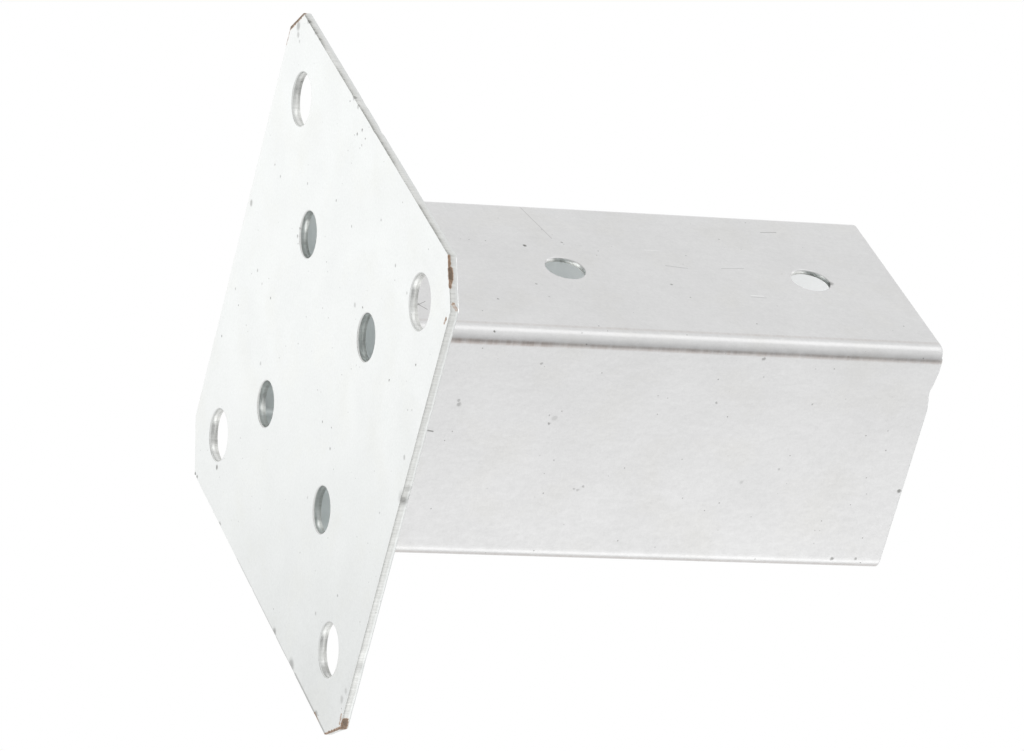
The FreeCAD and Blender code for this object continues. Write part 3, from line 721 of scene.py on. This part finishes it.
weld_finish = zinc_over_weld()
for side, turns in (("front", 0), ("right", 1), ("back", 2), ("left", 3)):
    bead = weld_bead(side, turns, 11.0 + turns)
    bead.data.materials.append(weld_finish)
    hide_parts("weld_bead_" + side)
    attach(bead, "root")

# ---------------------------------------------------------------- seam tacks
# The strip's two ends are held together by two short tack welds down the seam, one at
# mid height and one near the top, each three or four puddles melted into both edges.

TACK_LENGTH = 12.0 * MM
TACK_WIDTH = 4.4 * MM
TACK_HEIGHT = 1.0 * MM
# How deep the weld has melted into the seam.
TACK_ROOT = 0.5 * MM


def seam_tack(node, seed):
    """A flattened dab over the seam, in the middle of the CAD node's own box."""
    low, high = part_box(node)
    middle = (low[2] + high[2]) / 2
    bm = bmesh.new()
    bmesh.ops.create_uvsphere(bm, u_segments=36, v_segments=40, radius=1.0)
    for v in bm.verts:
        along = v.co.z * TACK_LENGTH / 2
        ends = abs(v.co.z) ** 4
        lag = 1.1 * MM * abs(v.co.y)
        rise = ripples(along, lag, seed) * (1 - ends)
        wide = 1 + 0.10 * noise.noise(Vector((along / (3 * MM), seed, 0))) + 0.05 * rise
        out = max(0.0, -v.co.x) * (0.82 + 0.16 * rise) * TACK_HEIGHT
        x = -SLEEVE_HALF - out + max(0.0, v.co.x) * TACK_ROOT
        v.co = Vector((x, v.co.y * wide * 0.94 * TACK_WIDTH / 2, middle + along * 0.99))
    return finish_mesh(bm, "zinc_" + node, lambda face: False)


for node, seed in (("seam_tack_middle", 21.0), ("seam_tack_end", 25.0)):
    tack = seam_tack(node, seed)
    tack.data.materials.append(weld_finish)
    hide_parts(node)
    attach(tack, "root")

# ---------------------------------------------------------------- camera
# A long lens low down at the front right, which looks up at the plate's underside. It is turned on
# its side, so the sleeve lies across the view with its open end to the right.

CAMERA_AIM = (-8.36 * MM, 3.58 * MM, 62.48 * MM)
CAMERA_DISTANCE = 1623.8 * MM
CAMERA_AZIMUTH = math.radians(59.474)
CAMERA_ELEVATION = math.radians(-22.735)
CAMERA_ROLL = math.radians(-92.442)
CAMERA_LENS = 203.87
CAMERA_REACH = 20.0


def make_camera():
    """Place the camera by its aim, its distance and three angles."""
    data = bpy.data.cameras.new("camera")
    data.lens = CAMERA_LENS
    data.clip_end = CAMERA_REACH
    camera = bpy.data.objects.new("camera", data)
    back = Vector((math.sin(CAMERA_AZIMUTH) * math.cos(CAMERA_ELEVATION),
                   -math.cos(CAMERA_AZIMUTH) * math.cos(CAMERA_ELEVATION),
                   math.sin(CAMERA_ELEVATION)))
    camera.location = Vector(CAMERA_AIM) + CAMERA_DISTANCE * back
    level = (-back).to_track_quat("-Z", "Y")
    camera.rotation_mode = "QUATERNION"
    camera.rotation_quaternion = level @ Quaternion((0, 0, 1), -CAMERA_ROLL)
    bpy.context.collection.objects.link(camera)
    bpy.context.scene.camera = camera


make_camera()

# ---------------------------------------------------------------- studio
# A pale floor that is clear from below and open under the plate, so that the underside is
# seen and lit, and soft lamps in a white surround. A dark flag above the lens shows only
# in what the metal mirrors.

FLOOR_HALF = 1.6
# A step longer than any run of these outlines leaves their sides whole.
UNDIVIDED = 4.0


def pale_floor():
    """The floor is solid from above and clear from below."""
    bm = bmesh.new()
    floor_corners = ((-FLOOR_HALF, -FLOOR_HALF), (FLOOR_HALF, -FLOOR_HALF),
                     (FLOOR_HALF, FLOOR_HALF), (-FLOOR_HALF, FLOOR_HALF))
    ring_of(bm, floor_corners, UNDIVIDED)
    ring_of(bm, plate_corners(), UNDIVIDED)
    bmesh.ops.triangle_fill(bm, use_beauty=True, use_dissolve=False, edges=bm.edges[:], normal=(0, 0, 1))
    for face in bm.faces:
        if face.normal.z < 0:
            face.normal_flip()
    mesh = bpy.data.meshes.new("pale_floor")
    bm.to_mesh(mesh)
    bm.free()
    obj = bpy.data.objects.new("pale_floor", mesh)
    bpy.context.collection.objects.link(obj)
    material, tree = new_material("matt_white_board")
    place = add_node(tree, "ShaderNodeTexCoord").outputs["Object"]
    fibre = add_node(tree, "ShaderNodeTexNoise", Vector=place, Scale=1 / (3 * MM), Detail=2.0).outputs["Fac"]
    colour = add_node(tree, "ShaderNodeMix", {"data_type": "RGBA"}, i0=fibre, i6=srgb("#f3f3f2"),
                      i7=srgb("#f7f7f6")).outputs[2]
    board = add_node(tree, "ShaderNodeBsdfPrincipled", Base_Color=colour, Roughness=0.9).outputs[0]
    clear = add_node(tree, "ShaderNodeBsdfTransparent").outputs[0]
    behind = add_node(tree, "ShaderNodeNewGeometry").outputs["Backfacing"]
    surface = add_node(tree, "ShaderNodeMixShader", i0=behind, i1=board, i2=clear).outputs[0]
    add_node(tree, "ShaderNodeOutputMaterial", Surface=surface)
    mesh.materials.append(material)
    return obj


pale_floor()


def soft_lamp(name, azimuth, elevation, distance, size, watts, aim=(0, 0, 0.06)):
    """A square soft box that looks at the object; azimuth is measured from +X towards +Y."""
    data = bpy.data.lights.new(name, "AREA")
    data.shape = "SQUARE"
    data.size = size
    data.energy = watts
    lamp = bpy.data.objects.new(name, data)
    a, e = math.radians(azimuth), math.radians(elevation)
    away = Vector((math.cos(a) * math.cos(e), math.sin(a) * math.cos(e), math.sin(e)))
    lamp.location = Vector(aim) + distance * away
    lamp.rotation_mode = "QUATERNION"
    lamp.rotation_quaternion = away.to_track_quat("Z", "Y")
    lamp.visible_camera = False
    bpy.context.collection.objects.link(lamp)


soft_lamp("key", -93, 26, 1.3, 0.7, 0.69)
soft_lamp("side", 48, 26, 1.4, 0.8, 1.15)
soft_lamp("under", 168, -24, 1.7, 1.3, 2.12, aim=(0, 0, 0))
soft_lamp("top", 0, 90, 1.2, 0.5, 2.0)

# Two faint glows inside the tube stand in for the many reflections that carry daylight down it.
GLOW_RADIUS = 20 * MM
GLOWS = (("low_glow", 0.016, (0, -12 * MM, 45 * MM)), ("upper_glow", 0.0045, (0, -4 * MM, 105 * MM)))
for name, watts, place in GLOWS:
    glow = bpy.data.objects.new(name, bpy.data.lights.new(name, "POINT"))
    glow.data.energy = watts
    glow.data.shadow_soft_size = GLOW_RADIUS
    glow.location = place
    glow.visible_camera = False
    bpy.context.collection.objects.link(glow)


# How much darker than the white surround the flag is.
FLAG_DEPTH = 0.68


def studio_surround():
    """Plain white all round, with a dark flag above the lens that only mirrored rays meet.

    The light is a little weaker than the white that the camera and the metal see.
    """
    world = bpy.data.worlds.new("studio")
    world.use_nodes = True
    bpy.context.scene.world = world
    tree = world.node_tree
    tree.nodes.clear()
    towards = add_node(tree, "ShaderNodeTexCoord").outputs["Generated"]
    axes = add_node(tree, "ShaderNodeSeparateXYZ", i0=towards).outputs
    azimuth = add_node(tree, "ShaderNodeMath", {"operation": "ARCTAN2"}, i0=axes[1], i1=axes[0]).outputs[0]
    azimuth = add_node(tree, "ShaderNodeMath", {"operation": "DEGREES"}, i0=azimuth).outputs[0]
    left = add_node(tree, "ShaderNodeMapRange", Value=azimuth, From_Min=-54.0, From_Max=24.0).outputs[0]
    right = add_node(tree, "ShaderNodeMapRange", {"interpolation_type": "SMOOTHSTEP"}, Value=azimuth,
                     From_Min=27.0, From_Max=21.0).outputs[0]
    low = add_node(tree, "ShaderNodeMapRange", {"interpolation_type": "SMOOTHSTEP"}, Value=axes[2],
                   From_Min=0.02, From_Max=0.16).outputs[0]
    high = add_node(tree, "ShaderNodeMapRange", {"interpolation_type": "SMOOTHSTEP"}, Value=axes[2],
                    From_Min=0.72, From_Max=0.55).outputs[0]
    flag = left
    for side in (right, low, high):
        flag = add_node(tree, "ShaderNodeMath", {"operation": "MULTIPLY"}, i0=flag, i1=side).outputs[0]
    path = add_node(tree, "ShaderNodeLightPath").outputs
    mirrored = add_node(tree, "ShaderNodeMath", {"operation": "MAXIMUM"}, i0=path["Is Glossy Ray"],
                        i1=path["Is Transmission Ray"]).outputs[0]
    shown = add_node(tree, "ShaderNodeMath", {"operation": "MAXIMUM"}, i0=mirrored,
                     i1=path["Is Camera Ray"]).outputs[0]
    level = add_node(tree, "ShaderNodeMapRange", Value=shown, To_Min=0.7, To_Max=1.0).outputs[0]
    flag = add_node(tree, "ShaderNodeMath", {"operation": "MULTIPLY"}, i0=flag, i1=mirrored).outputs[0]
    level = add_node(tree, "ShaderNodeMath", {"operation": "MULTIPLY_ADD"}, i0=flag, i1=-FLAG_DEPTH,
                     i2=level).outputs[0]
    sky = add_node(tree, "ShaderNodeBackground", Color=(1, 1, 1, 1), Strength=level).outputs[0]
    add_node(tree, "ShaderNodeOutputWorld", Surface=sky)


studio_surround()
bpy.context.scene.view_settings.view_transform = "Standard"
